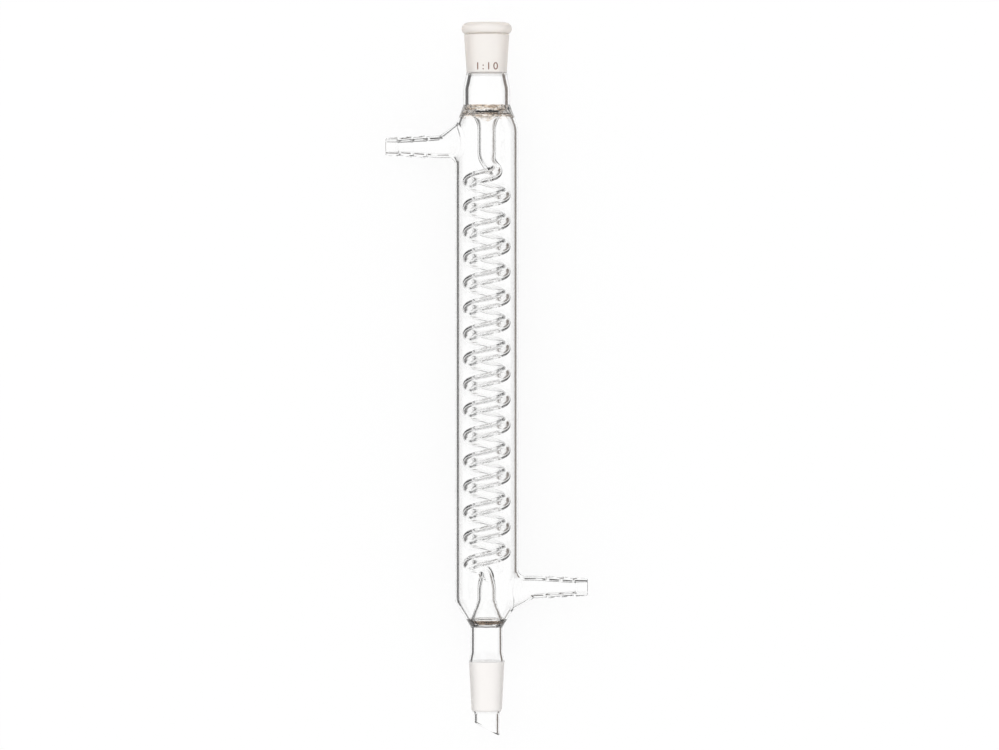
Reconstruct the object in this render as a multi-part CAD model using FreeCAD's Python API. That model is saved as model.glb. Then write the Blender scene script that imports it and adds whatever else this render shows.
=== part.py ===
import FreeCAD, Part
import math
import os

from FreeCAD import Vector

# Coil condenser, blown in one piece of borosilicate glass, in millimetres.
# It lies on a bench on its jacket. Its axis runs along Y with the socket towards +Y,
# the upper hose connection points to -X and the lower one to +X.
# A station is a distance along the axis, measured down from the socket's rim.

# Standard taper joint, the same on the socket and on the cone
joint_large_d = 14.5
joint_length = 20.0
joint_taper = 0.1

# Socket and the rounded bead at its mouth
socket_wall = 2.0
bead_d = 20.6
bead_thickness = 4.5

# Neck between the socket and the upper seal
neck_bore_d = 15.5
neck_wall = 1.85
neck_length = 17.4
neck_flare = 8.0

# Plain vapour tube above and below the coil
tube_bore_d = 5.3
tube_wall = 1.15
inlet_draw = 10.3
outlet_draw = 7.2

# Coil tube and its winding
coil_tube_d = 5.8
coil_tube_wall = 1.2
coil_radius = 6.95
coil_pitch = 10.43
coil_turns = 15.25
coil_entry_drop = 9.9
coil_exit_drop = 8.0
coil_lead = 1.0

# Water jacket and the seals at its ends
jacket_d = 26.0
jacket_wall = 1.4
upper_corner_r = 3.4
upper_fillet = 5.0
seal_wall = 1.2
flare_length = 7.2
flare_bend = 3.2
lower_seal_depth = 3.2
lower_taper_angle = 29.5

# Neck under the jacket, cone and drip tip
lower_neck_bore_d = 10.9
lower_neck_wall = 1.25
lower_neck_length = 15.0
collar_length = 2.1
cone_bore_d = 10.2
drip_bore_d = 8.5
drip_wall = 0.95
drip_length = 10.7
drip_shoulder = 1.6
drip_cut_angle = 28.0

# Hose connections
arm_reach = 41.4
arm_stem_d = 9.2
arm_tip_d = 7.0
arm_bore_tip_d = 4.6
arm_bore_root_d = 6.2
arm_root_d = 14.0
arm_root_rise = 3.0
barb_count = 3
barb_first = 4.8
barb_spacing = 5.5
barb_crest_d = 8.2
barb_growth = 0.6
barb_height = 0.45
barb_fall = 1.3
upper_arm_drop = 8.8
lower_arm_rise = 4.8

# Flats round the coil tube and its bore, and straight runs in a turn and in a bend
tube_flat_count = 8
tube_run_count = 10
bore_flat_count = 5
bore_run_count = 8
bend_run_count = 7

# A taper that gains less than this is drawn as a spline, which needs fewer facets
gentle_gain = 1.55

# Radii that follow
joint_large_r = joint_large_d / 2
joint_small_r = joint_large_r - joint_length * joint_taper / 2
socket_r = joint_large_r + socket_wall
neck_bore_r = neck_bore_d / 2
neck_r = neck_bore_r + neck_wall
tube_bore_r = tube_bore_d / 2
tube_r = tube_bore_r + tube_wall
coil_tube_r = coil_tube_d / 2
coil_bore_r = coil_tube_r - coil_tube_wall
jacket_r = jacket_d / 2
jacket_bore_r = jacket_r - jacket_wall
lower_neck_bore_r = lower_neck_bore_d / 2
lower_neck_r = lower_neck_bore_r + lower_neck_wall
drip_bore_r = drip_bore_d / 2
drip_r = drip_bore_r + drip_wall

# Stations that follow, from the rim down
upper_seal = joint_length + neck_length
funnel_r = neck_bore_r - tube_bore_r
funnel_end = upper_seal + funnel_r
inlet_end = funnel_end + inlet_draw
coil_top = inlet_end + coil_entry_drop
coil_bottom = coil_top + coil_pitch * coil_turns
outlet_end = coil_bottom + coil_exit_drop
flare_top = outlet_end + outlet_draw
flare_end = flare_top + flare_length
collar_top = flare_end + lower_neck_length
cone_top = collar_top + collar_length
cone_end = cone_top + joint_length
overall_length = cone_end + drip_length

# Seals: the jacket's upper corner, and its lower taper down to the neck
upper_corner = upper_seal + seal_wall + upper_corner_r
taper_slope = math.tan(math.radians(lower_taper_angle))
taper_foot = flare_end + lower_seal_depth
taper_top = taper_foot - (jacket_r - lower_neck_r) / taper_slope
upper_arm = upper_corner + upper_arm_drop
lower_arm = taper_top - lower_arm_rise


def at(radius, station):
    """A point of an outline, from its radius and its station."""
    return Vector(radius, overall_length / 2 - station, 0)


def round_corner(centre, radius, first, last):
    """An arc about a centre as its middle and end point, in degrees, 90 up the axis."""
    def point(degrees):
        angle = math.radians(degrees)
        return centre + Vector(math.cos(angle), math.sin(angle), 0) * radius
    return point((first + last) / 2), point(last)


def closed_outline(start, *steps):
    """A face from a start point and steps: a point draws a line, a pair draws an arc."""
    edges = []
    here = start
    for step in steps + (start,):
        if isinstance(step, tuple):
            edges.append(Part.Arc(here, step[0], step[1]).toBSpline().toShape())
            here = step[1]
        else:
            line = Part.LineSegment(here, step)
            gain = min(abs(step.x - here.x), abs(step.y - here.y))
            if 0.01 < gain < gentle_gain:
                line = line.toBSpline()
            edges.append(line.toShape())
            here = step
    return Part.Face(Part.Wire(edges))


def turned(start, *steps):
    """The outline turned about the condenser's axis, with its seam underneath."""
    body = closed_outline(start, *steps).revolve(Vector(0, 0, 0), Vector(0, 1, 0), 360)
    body.rotate(Vector(0, 0, 0), Vector(0, 1, 0), 90)
    return body


def outer_form():
    """Everything inside the outer skin, from the bead down to the drip tip's end."""
    bead_r = bead_thickness / 2
    bead_centre = at(bead_d / 2 - bead_r, bead_r)
    bead_foot = -math.degrees(math.acos((socket_r - bead_centre.x) / bead_r))
    corner_centre = at(jacket_bore_r - upper_corner_r, upper_corner)
    dome_r = upper_corner_r + jacket_wall
    fillet_x = neck_r + upper_fillet
    blend = math.degrees(math.acos((fillet_x - corner_centre.x) / (dome_r + upper_fillet)))
    fillet_rise = (dome_r + upper_fillet) * math.sin(math.radians(blend))
    fillet_centre = at(fillet_x, upper_corner - fillet_rise)
    return turned(
        at(0, 0),
        at(bead_centre.x, 0),
        round_corner(bead_centre, bead_r, 90, bead_foot),
        at(joint_small_r + socket_wall, joint_length),
        at(neck_r, joint_length + neck_flare),
        at(neck_r, upper_corner - fillet_rise),
        round_corner(fillet_centre, upper_fillet, 180, 180 + blend),
        *round_corner(corner_centre, dome_r, blend, 0),
        at(jacket_r, taper_top),
        at(lower_neck_r, taper_foot),
        at(lower_neck_r, collar_top),
        at(joint_large_r, cone_top),
        at(joint_small_r, cone_end),
        at(drip_r, cone_end + drip_shoulder),
        at(drip_r, overall_length),
        at(0, overall_length))


def socket_lumen():
    """The vapour's way from the socket through the neck and funnel into the coil tube."""
    funnel_centre = at(neck_bore_r, funnel_end)
    return turned(
        at(0, 0),
        at(joint_large_r, 0),
        at(joint_small_r, joint_length),
        at(neck_bore_r, joint_length + neck_flare),
        at(neck_bore_r, upper_seal),
        *round_corner(funnel_centre, funnel_r, 90, 180),
        at(coil_bore_r, inlet_end),
        at(0, inlet_end))


def tip_lumen():
    """The way on from the coil tube through the lower neck and cone to the drip tip."""
    return turned(
        at(0, outlet_end),
        at(coil_bore_r, outlet_end),
        at(tube_bore_r, flare_top),
        at((tube_bore_r + lower_neck_bore_r) / 2, flare_top + flare_bend),
        at(lower_neck_bore_r, flare_end),
        at(cone_bore_d / 2, cone_end),
        at(drip_bore_r, cone_end + drip_shoulder),
        at(drip_bore_r, overall_length),
        at(0, overall_length))


def water_space():
    """The jacket's inside, round the plain tube's two ends, still without the coil in it."""
    seal_r = funnel_r - seal_wall
    seal_centre = at(neck_bore_r, funnel_end)
    corner_centre = at(jacket_bore_r - upper_corner_r, upper_corner)
    half_turn = math.tan(math.radians(lower_taper_angle / 2))
    inner_top = taper_top - jacket_wall * half_turn
    inner_foot = flare_end - seal_wall
    flare_slope = (lower_neck_bore_r - tube_bore_r) / flare_length
    return turned(
        at(0, inlet_end),
        at(coil_tube_r, inlet_end),
        at(tube_r, funnel_end),
        *round_corner(seal_centre, seal_r, 180, 90),
        at(corner_centre.x, upper_seal + seal_wall),
        *round_corner(corner_centre, upper_corner_r, 90, 0),
        at(jacket_bore_r, inner_top),
        at(jacket_bore_r - (inner_foot - inner_top) * taper_slope, inner_foot),
        at(tube_r + (inner_foot - flare_top) * flare_slope, inner_foot),
        at(tube_r, flare_top),
        at(coil_tube_r, outlet_end),
        at(0, outlet_end))


def hose_connection(station, side):
    """A solid arm with its barbs, pointing to +X when the side is 1 and to -X when it is -1."""
    root_start = jacket_r - arm_root_rise
    steps = []
    for number in range(barb_count):
        crest = arm_reach - barb_first - barb_spacing * number
        crest_r = (barb_crest_d + barb_growth * number) / 2
        steps.append(Vector(crest, crest_r, 0))
        steps.append(Vector(crest - barb_fall, crest_r - barb_height, 0))
    arm = closed_outline(
        Vector(root_start, 0, 0),
        Vector(arm_reach, 0, 0),
        Vector(arm_reach, arm_tip_d / 2, 0),
        *steps,
        Vector(steps[-1].x - barb_fall, arm_stem_d / 2, 0),
        Vector(jacket_r + arm_root_rise, arm_stem_d / 2, 0),
        Vector(root_start, arm_root_d / 2, 0))
    return placed_on(arm.revolve(Vector(0, 0, 0), Vector(1, 0, 0), 360), station, side)


def hose_bore(station, side):
    """The water's way along an arm, widening from the tip to the jacket."""
    root_start = jacket_r - arm_root_rise
    bore = closed_outline(
        Vector(root_start, 0, 0),
        Vector(arm_reach, 0, 0),
        Vector(arm_reach, arm_bore_tip_d / 2, 0),
        Vector(jacket_r + 2 * arm_root_rise, arm_bore_root_d / 2, 0),
        Vector(root_start, arm_bore_root_d / 2, 0))
    return placed_on(bore.revolve(Vector(0, 0, 0), Vector(1, 0, 0), 360), station, side)


def placed_on(arm, station, side):
    """An arm's shape moved to its station and turned to its side."""
    if side < 0:
        arm.rotate(Vector(0, 0, 0), Vector(0, 1, 0), 180)
    arm.translate(at(0, station))
    return arm


def coil_path(runs_per_turn):
    """The coil tube's centre line in straight runs, from the inlet end to the outlet end."""
    def on_coil(turn):
        angle = 2 * math.pi * (turn + 0.25)
        centre = at(0, coil_top + coil_pitch * turn)
        return centre + Vector(math.cos(angle), 0, math.sin(angle)) * coil_radius

    def bend(end_station, drop, outwards, sideways):
        """Points that leave the axis along it and swing half round onto the coil."""
        points = []
        knee = drop - math.copysign(coil_pitch / 4, drop)
        for step in range(bend_run_count + 1):
            share = step / bend_run_count
            sweep = math.pi * share ** 2
            fall = 2 * share * (1 - share) * knee + share ** 2 * drop
            swing = outwards * (1 - math.cos(sweep)) + sideways * math.sin(sweep)
            points.append(at(0, end_station + fall) + swing * (coil_radius / 2))
        return points

    entry_start = inlet_end + coil_lead
    leave_end = outlet_end - coil_lead
    entry = bend(entry_start, coil_top - entry_start, Vector(0, 0, 1), Vector(1, 0, 0))
    leave = bend(leave_end, coil_bottom - leave_end, Vector(-1, 0, 0), Vector(0, 0, -1))
    runs = round(coil_turns * runs_per_turn)
    winding = [on_coil(coil_turns * step / runs) for step in range(1, runs)]
    return [at(0, inlet_end)] + entry + winding + leave[::-1] + [at(0, outlet_end)]


def along_coil(radius, flats, runs_per_turn):
    """A many-sided rod with a round one's area, swept along the coil with mitred corners."""
    slice_angle = 2 * math.pi / flats
    corner_r = radius * math.sqrt(slice_angle / math.sin(slice_angle))
    corners = []
    for number in range(flats + 1):
        angle = slice_angle * number
        corners.append(at(0, inlet_end) + Vector(math.cos(angle), 0, math.sin(angle)) * corner_r)
    path = Part.makePolygon(coil_path(runs_per_turn))
    return path.makePipeShell([Part.makePolygon(corners)], True, False, 1)


def drip_cut():
    """What the slanted cut takes off the drip tip, shortest towards -X."""
    size = 4 * drip_r
    block = Part.makeBox(size, size, size, Vector(-size, -size, -size / 2))
    block.translate(Vector(drip_r, 0, 0))
    block.rotate(Vector(drip_r, 0, 0), Vector(0, 0, 1), -drip_cut_angle)
    block.translate(at(0, overall_length))
    return block


def condenser():
    """The whole glass body as one solid, resting on z = 0."""
    arms = [(upper_arm, -1), (lower_arm, 1)]
    body = outer_form().fuse([hose_connection(station, side) for station, side in arms])
    ways = [hose_bore(station, side) for station, side in arms]
    body = body.cut([socket_lumen(), tip_lumen(), water_space(), drip_cut()] + ways)
    coil_bore = along_coil(coil_bore_r, bore_flat_count, bore_run_count)
    body = body.fuse(along_coil(coil_tube_r, tube_flat_count, tube_run_count).cut(coil_bore))
    body.translate(Vector(0, 0, jacket_r))
    return body.Solids[0]


os.makedirs("parts", exist_ok=True)
condenser().exportStep("parts/glass_condenser.step")
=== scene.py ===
import math
from types import SimpleNamespace

import bmesh
import bpy
import numpy as np
from bpy.props import FloatProperty, FloatVectorProperty, IntProperty, PointerProperty
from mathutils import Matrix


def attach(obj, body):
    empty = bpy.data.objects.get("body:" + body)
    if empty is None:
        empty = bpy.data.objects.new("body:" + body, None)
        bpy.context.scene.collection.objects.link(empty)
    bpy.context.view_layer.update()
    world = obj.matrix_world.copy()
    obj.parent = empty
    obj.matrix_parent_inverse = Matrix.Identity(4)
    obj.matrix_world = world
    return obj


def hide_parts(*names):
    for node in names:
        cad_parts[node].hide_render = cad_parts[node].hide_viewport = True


bl_info = {
    "name": "Coil condenser",
    "version": (1, 0, 0),
    "blender": (4, 5, 0),
    "location": "3D View > Sidebar > Condenser",
    "description": "Builds a coil condenser in clear glass, with ground joints, and its stage",
    "category": "Add Mesh",
}

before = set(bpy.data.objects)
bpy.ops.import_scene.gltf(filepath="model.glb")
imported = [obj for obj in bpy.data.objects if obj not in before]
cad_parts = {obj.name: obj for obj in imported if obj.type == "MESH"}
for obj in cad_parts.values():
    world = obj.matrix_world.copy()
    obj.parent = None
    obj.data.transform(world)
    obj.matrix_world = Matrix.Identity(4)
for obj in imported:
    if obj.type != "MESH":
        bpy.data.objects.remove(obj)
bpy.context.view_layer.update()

# The piece lies along Y with its socket towards +Y. A station is a distance along its axis,
# measured from the socket's rim. Every size is in metres, and MM turns millimetres into them.
# A name that ends in _d is a diameter, and one that ends in _r is a radius.
MM = 0.001

# How finely the glass is drawn
COLUMNS = 64
COIL_COLUMNS = 32
STEPS_PER_TURN = 48
STEPS_PER_BEND = 28
LEAD_RINGS = 3
TRAIL_RINGS = 8
ARC_STEP = math.radians(7.5)

# The patch of wall round an arm: columns to each side, rows, rings, and reach before and after it
WINDOW_HALF_COLUMNS = 8
WINDOW_ROWS = 20
WALL_RINGS = 7
FILLET_RINGS = 13
UPPER_WINDOW = (10.2 * MM, 9.8 * MM)
LOWER_WINDOW = (9.8 * MM, 10.4 * MM)

# The finishes of the glass, in the order in which its materials are added
CLEAR = 0
CONE = 1
SOCKET = 2
GROUND_EDGE = 3
PALE_SEAL = 4
# Painted shade: a dark tint laid into the glass where the seals are thickest, for the dark that the
# bent light shows there
SEAL_PAINTED_SHADE = 5

# Refraction of borosilicate glass
GLASS_IOR = 1.47

# How many waves, painted-shade streaks, scratches and grains lie in a metre, or along X, Y and Z
CLEAR_WAVES = 140.0
SEAL_WAVES = 600.0
SEAL_PAINTED_STREAKS = (220.0, 1100.0, 220.0)
SCRATCHES = (300.0, 4000.0, 300.0)
PRINT_GRAIN = 3000.0

# The dark cards that the glass shows as its lines, and the parts of a direction where they end
LEFT_CARD = (0.03, 0.026, 0.024)
RIGHT_CARD = (0.13, 0.10, 0.08)
TIP_END_CARD = (0.06, 0.045, 0.035)
SOCKET_END_CARD = (0.02, 0.016, 0.014)
CARD_END = 0.81
ROOM_START = 0.85


def length(name, description, millimetres):
    """A length property, from its default in millimetres."""
    return FloatProperty(name=name, description=description, default=millimetres * MM,
                         min=0.0, unit="LENGTH", precision=5)


def angle(name, description, degrees):
    """An angle property, from its default in degrees."""
    return FloatProperty(name=name, description=description, default=math.radians(degrees),
                         subtype="ANGLE")


def colour(name, description, default):
    """A colour property."""
    return FloatVectorProperty(name=name, description=description, default=default,
                               subtype="COLOR", min=0.0, max=1.0)


def share(name, description, default):
    """A property between 0 and 1."""
    return FloatProperty(name=name, description=description, default=default,
                         min=0.0, max=1.0, subtype="FACTOR")


class JointSizes(bpy.types.PropertyGroup):
    """Socket, neck, cone and drip tip."""

    large_d: length("Wide end", "Diameter of the ground taper's wide end", 14.5)
    ground_length: length("Ground length", "Length of each ground taper", 20.0)
    taper: FloatProperty(name="Taper", default=0.1,
                         description="Loss of diameter in each unit of length")
    socket_wall: length("Socket wall", "Glass round the ground socket", 2.0)
    bead_d: length("Bead", "Outside of the rounded bead at the mouth", 20.6)
    bead_thickness: length("Bead thickness", "Height of the bead along the axis", 4.9)
    bead_lean: angle("Bead lean", "Slant of the bead's underside", 50.0)
    crease_depth: length("Crease", "Depth of the crease under the bead", 0.25)
    crease_length: length("Crease length", "Length of the crease along the axis", 0.5)
    print_station: length("Print", "From the rim to the middle of the numbers", 18.2)
    print_height: length("Print height", "Height of the numbers", 2.9)
    print_thickness: length("Print thickness", "How far the print stands out of the glass", 0.04)
    neck_bore_d: length("Neck bore", "Inside of the neck", 15.5)
    neck_wall: length("Neck wall", "Glass round the neck", 1.85)
    neck_length: length("Neck length", "From the ground socket to the upper seal", 17.4)
    neck_flare: length("Neck flare", "Length over which the socket widens into the neck", 7.0)
    trumpet_rim: length("Trumpet rim", "How far over the upper seal the trumpet begins", 0.9)
    trumpet_drop: length("Trumpet drop", "How far under the seal it has narrowed to the tube", 1.0)
    lower_neck_bore_d: length("Lower neck bore", "Inside of the neck under the jacket", 10.9)
    lower_neck_wall: length("Lower neck wall", "Glass of the neck under the jacket", 1.08)
    lower_neck_length: length("Lower neck length", "From the lower seal to the collar", 15.0)
    collar_length: length("Collar", "Length over which the neck widens to the cone", 2.1)
    collar_lead: length("Collar lead", "How far over the collar the neck begins to widen", 1.2)
    collar_gain: length("Collar gain", "Gain of the bore's radius in the collar", 0.75)
    cone_bore_d: length("Cone bore", "Inside of the cone's narrow end", 10.2)
    drip_bore_d: length("Drip tip bore", "Inside of the drip tip", 8.5)
    drip_wall: length("Drip tip wall", "Glass of the drip tip", 0.95)
    drip_length: length("Drip tip length", "From the cone to the tip's longest point", 10.7)
    drip_shoulder: length("Drip tip shoulder", "Length over which the cone narrows to the tip", 1.6)
    drip_cut: angle("Cut", "Slant of the drip tip's end", 28.0)


class JacketSizes(bpy.types.PropertyGroup):
    """Water jacket and its seals."""

    outer_d: length("Jacket", "Outside of the water jacket", 26.0)
    wall: length("Wall", "Glass of the water jacket", 1.4)
    shoulder_start: length("Shoulder start", "From the rim to the start of the shoulder", 33.8)
    shoulder_length: length("Shoulder length", "Length over which it widens to the jacket", 9.0)
    seal_wall: length("Seal wall", "Glass from the upper seal to the water space at the tube", 1.2)
    dome_sag: length("Dome sag", "How much lower the dome lies at the tube than at the jacket", 1.4)
    flare_wall: length("Flare wall", "How far the water space ends above the lower seal", 0.4)
    flare_length: length("Flare length", "Length over which the tube widens to the lower neck", 7.2)
    flare_bend: length("Flare bend", "From the flare's start to the bend in its inside", 3.2)
    ridge_height: length("Ridge", "Height of the ridge inside the lower seal", 0.5)
    ridge_length: length("Ridge length", "Length of the ridge along the axis", 2.6)
    lower_depth: length("Lower seal depth", "From the flare's end to the foot of the taper", 3.2)
    lower_angle: angle("Lower taper", "Slant of the jacket's lower end", 32.5)


class CoilSizes(bpy.types.PropertyGroup):
    """Vapour tube: plain ends and the coil between them."""

    plain_bore_d: length("Plain bore", "Inside of the plain tube above and below the coil", 5.3)
    plain_wall: length("Plain wall", "Glass of the plain tube", 1.15)
    inlet_draw: length("Inlet", "Plain tube above the coil", 10.3)
    outlet_draw: length("Outlet", "Plain tube below the coil", 7.2)
    tube_d: length("Coil tube", "Outside of the coil's tube", 5.8)
    tube_wall: length("Coil tube wall", "Glass of the coil's tube", 1.6)
    radius: length("Coil radius", "From the axis to the middle of the coil's tube", 6.95)
    pitch: length("Pitch", "Rise of one turn", 10.43)
    turns: FloatProperty(name="Turns", default=15.25,
                         description="Turns of the coil between its two bends")
    entry_drop: length("Entry", "Length of the bend from the plain tube onto the coil", 9.9)
    exit_drop: length("Exit", "Length of the bend from the coil back to the plain tube", 8.0)
    lead: length("Lead", "Straight tube before each bend", 1.0)
    resume: length("Resume", "Straight tube past the exit over which it widens again", 3.0)


class HoseSizes(bpy.types.PropertyGroup):
    """Hose connections on the jacket's sides."""

    reach: length("Reach", "From the axis to a connection's end", 41.4)
    stem_d: length("Stem", "Outside of the stem at the jacket", 9.2)
    tip_d: length("Tip", "Outside of the end", 7.0)
    tip_bore_d: length("Tip bore", "Inside of the end", 4.6)
    bore_crease: length("Bore crease", "Height of the crease in the bore at the first barb", 0.25)
    root_bore_d: length("Root bore", "Inside of the stem at the jacket", 6.2)
    root_rise: length("Root rise", "How far the stem's base reaches out of the jacket", 7.0)
    barbs: IntProperty(name="Barbs", description="Barbs on each connection", default=3, min=1)
    first_barb: length("First barb", "From the end to the first crest", 4.8)
    barb_spacing: length("Barb spacing", "From crest to crest", 5.5)
    crest_d: length("Crest", "Diameter of the first crest", 8.2)
    crest_growth: length("Crest growth", "Gain of diameter from crest to crest", 0.6)
    barb_height: length("Barb height", "Depth of the step behind a crest", 0.45)
    barb_fall: length("Barb fall", "Length of the step behind a crest", 1.3)
    upper_station: length("Upper connection", "Station of the upper connection's middle", 50.8)
    lower_rise: length("Lower connection", "From its middle to the top of the lower taper", 6.05)
    side_fillet: length("Side fillet", "Fillet between the stem's sides and the jacket", 2.6)
    end_fillet: length("End fillet", "The same fillet towards the jacket's nearer end", 5.0)
    end_rise: length("End rise", "How much further out the stem begins there", 1.3)


class FinishSettings(bpy.types.PropertyGroup):
    """Colours and roughness of the glass."""

    clear_tint: colour("Clear glass", "Tint of the clear glass", (0.998, 0.998, 0.997))
    cone_tint: colour("Cone", "Tint of the ground cone", (1.0, 0.97, 0.945))
    socket_tint: colour("Socket", "Tint of the ground socket", (0.95, 0.915, 0.88))
    ground_roughness: share("Ground roughness", "Roughness of the ground joints", 0.75)
    edge_tint: colour("Ground edge", "Tint where the ground glass runs out", (0.99, 0.985, 0.98))
    seal_tint: colour("Seal", "Tint of the worked glass in the seals", (0.99, 0.965, 0.93))
    # Painted shade: the streak tint darkens lines in the worked seal glass, for the lines that the
    # bent light shows there
    streak_painted_shade_tint: colour("Seal streaks", "Tint of the streaks in it", (0.60, 0.47, 0.36))
    # Painted shade: these two tint the thickest seal glass dark, with darker streaks, for the dark
    # that the bent light shows there
    seal_painted_shade_tint: colour("Dark seal", "Tint where the seals are thickest", (0.22, 0.16, 0.11))
    seal_painted_shade_streak_tint: colour("Dark seal streaks", "Tint of the streaks there", (0.07, 0.045, 0.03))
    clear_waves: length("Waves", "Depth of the waves in the clear glass", 0.01)
    seal_waves: length("Seal waves", "Depth of the waves in the worked glass", 0.5)
    print_colour: colour("Print", "Colour of the numbers on the socket", (0.20, 0.07, 0.045))


class StageSettings(bpy.types.PropertyGroup):
    """Floor, light and camera."""

    floor_colour: colour("Floor", "Colour of the floor", (1.0, 1.0, 1.0))
    floor_size: length("Floor size", "Length of the floor's sides", 12000.0)
    camera_height: length("Camera height", "From the condenser's axis to the camera", 2500.0)
    view_width: length("View width", "Width that the picture shows at the axis", 409.2)
    centre_x: length("Centre across", "Middle of the picture across the axis", 5.25)
    centre_y: length("Centre along", "Middle of the picture along the axis", 1.7)
    room_light: share("Room light", "Strength of the light from all round", 0.97)
    lamp_power: FloatProperty(name="Lamp", description="Power of the soft lamp",
                              default=2.0, unit="POWER")
    lamp_size: length("Lamp size", "Width of the soft lamp", 1200.0)
    lamp_place: FloatVectorProperty(name="Lamp place", description="Where the soft lamp hangs",
                                    default=(-0.7, 0.6, 1.4), subtype="TRANSLATION")
    lamp_turn: FloatVectorProperty(name="Lamp turn", description="How the soft lamp is turned",
                                   default=(math.radians(-23.0), math.radians(-26.0), 0.0),
                                   subtype="EULER")


def layout(scene):
    """The stations and radii that follow from the sizes, in metres."""
    joint = scene.condenser_joint
    jacket = scene.condenser_jacket
    coil = scene.condenser_coil
    hose = scene.condenser_hose
    at = SimpleNamespace()
    at.large_r = joint.large_d / 2
    at.small_r = at.large_r - joint.ground_length * joint.taper / 2
    at.socket_r = at.large_r + joint.socket_wall
    at.rim_middle_r = (at.large_r + (joint.bead_d - joint.bead_thickness) / 2) / 2
    at.neck_bore_r = joint.neck_bore_d / 2
    at.neck_r = at.neck_bore_r + joint.neck_wall
    at.jacket_r = jacket.outer_d / 2
    at.jacket_bore_r = at.jacket_r - jacket.wall
    at.plain_bore_r = coil.plain_bore_d / 2
    at.plain_r = at.plain_bore_r + coil.plain_wall
    at.coil_r = coil.tube_d / 2
    at.coil_bore_r = at.coil_r - coil.tube_wall
    at.lower_bore_r = joint.lower_neck_bore_d / 2
    at.lower_r = at.lower_bore_r + joint.lower_neck_wall
    at.drip_bore_r = joint.drip_bore_d / 2
    at.drip_r = at.drip_bore_r + joint.drip_wall
    at.tip_middle_r = (at.drip_r + at.drip_bore_r) / 2
    at.upper_seal = joint.ground_length + joint.neck_length
    at.inlet_end = at.upper_seal + at.neck_bore_r - at.plain_bore_r + coil.inlet_draw
    at.coil_top = at.inlet_end + coil.entry_drop
    at.coil_bottom = at.coil_top + coil.pitch * coil.turns
    at.outlet_end = at.coil_bottom + coil.exit_drop
    at.resume = at.outlet_end + coil.resume
    at.flare_top = at.outlet_end + coil.outlet_draw
    at.flare_end = at.flare_top + jacket.flare_length
    at.collar_top = at.flare_end + joint.lower_neck_length
    at.widening_start = at.collar_top - joint.collar_lead
    at.cone_top = at.collar_top + joint.collar_length
    at.cone_end = at.cone_top + joint.ground_length
    at.overall = at.cone_end + joint.drip_length
    at.slope = math.tan(jacket.lower_angle)
    at.taper_foot = at.flare_end + jacket.lower_depth
    at.taper_top = at.taper_foot - (at.jacket_r - at.lower_r) / at.slope
    at.upper_arm = hose.upper_station
    at.lower_arm = at.taper_top - hose.lower_rise
    return at


def in_place(x, station, z, at):
    """Points in the frame's axes, from x and z about the condenser's axis and a station along it.

    y falls with the station from half the length on, and the jacket's side lies on z = 0.
    """
    return np.stack(np.broadcast_arrays(x, at.overall / 2 - station, z + at.jacket_r), axis=-1)


def rounded(*corners):
    """Points of an outline with rounded corners, as an array of (along, out).

    Each corner is (along, out, rounding). Its arc's centre lies on the corner's bisector,
    rounding / sin(half the corner's angle) away, and the arc swings evenly from one side's
    touching point to the other's. The first and last corner are plain ends.
    """
    almost_straight = 1e-4
    ends = [np.array(corner[:2], dtype=float) for corner in corners]
    roundings = [corner[2] for corner in corners]
    pieces = [ends[0][None]]
    for before, here, after, rounding in zip(ends, ends[1:], ends[2:], roundings[1:]):
        to_before = (before - here) / np.linalg.norm(before - here)
        to_after = (after - here) / np.linalg.norm(after - here)
        half = math.acos(np.clip(to_before @ to_after, -1.0, 1.0)) / 2
        turn = math.pi - 2 * half
        if rounding == 0 or turn < almost_straight:
            pieces.append(here[None])
            continue
        bisector = (to_before + to_after) / np.linalg.norm(to_before + to_after)
        centre = here + bisector * rounding / math.sin(half)
        first = here + to_before * rounding / math.tan(half) - centre
        last = here + to_after * rounding / math.tan(half) - centre
        part = np.linspace(0, 1, max(3, math.ceil(turn / ARC_STEP) + 1))[:, None]
        swing = np.sin((1 - part) * turn) * first + np.sin(part * turn) * last
        pieces.append(centre + swing / math.sin(turn))
    pieces.append(ends[-1][None])
    return np.concatenate(pieces)


def supported(outline, gap=0.25 * MM, longest=12 * MM):
    """The outline with a point near both ends of each long run, so that its shading stays flat.

    On a run of length L they lie at gap and L - gap, with even steps of at most longest between.
    """
    pieces = []
    for here, after in zip(outline, outline[1:]):
        run = np.linalg.norm(after - here)
        pieces.append(here[None])
        if run > 4 * gap:
            steps = max(1, math.ceil((run - 2 * gap) / longest))
            part = np.linspace(gap / run, 1 - gap / run, steps + 1)[:, None]
            pieces.append(here + (after - here) * part)
    pieces.append(outline[-1][None])
    return np.concatenate(pieces)


def with_rows(outline, stations):
    """The outline with its points between the first and last station replaced by one at each."""
    clearance = 0.01 * MM
    out = np.interp(stations, outline[:, 0], outline[:, 1])
    before = outline[outline[:, 0] < stations[0] - clearance]
    after = outline[outline[:, 0] > stations[-1] + clearance]
    return np.concatenate([before, np.column_stack([stations, out]), after])


def finishes(outline, *zones):
    """The finish of each step of an outline. A zone is (finish, first station, last station)."""
    middle = (outline[:-1, 0] + outline[1:, 0]) / 2
    result = np.full(len(middle), CLEAR)
    for finish, first, last in zones:
        result[(middle > first) & (middle < last)] = finish
    return result


def marked(outline, *stations):
    """The outline with one more point at each of these stations, on every run that passes it."""
    for station in stations:
        after = np.nonzero((outline[:-1, 0] < station) & (outline[1:, 0] > station))[0] + 1
        extra = [(station, np.interp(station, *outline[row - 1:row + 1].T)) for row in after]
        if extra:
            outline = np.insert(outline, after, extra, axis=0)
    return outline


def turned(outline, at):
    """A surface of revolution: the outline's point at each station, turned about the axis.

    x = out * cos(around) and z = out * sin(around), for even angles around the axis.
    """
    around = np.linspace(0, 2 * math.pi, COLUMNS, endpoint=False)[None]
    out = outline[:, 1:2]
    return in_place(out * np.cos(around), outline[:, 0:1], out * np.sin(around), at)


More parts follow.
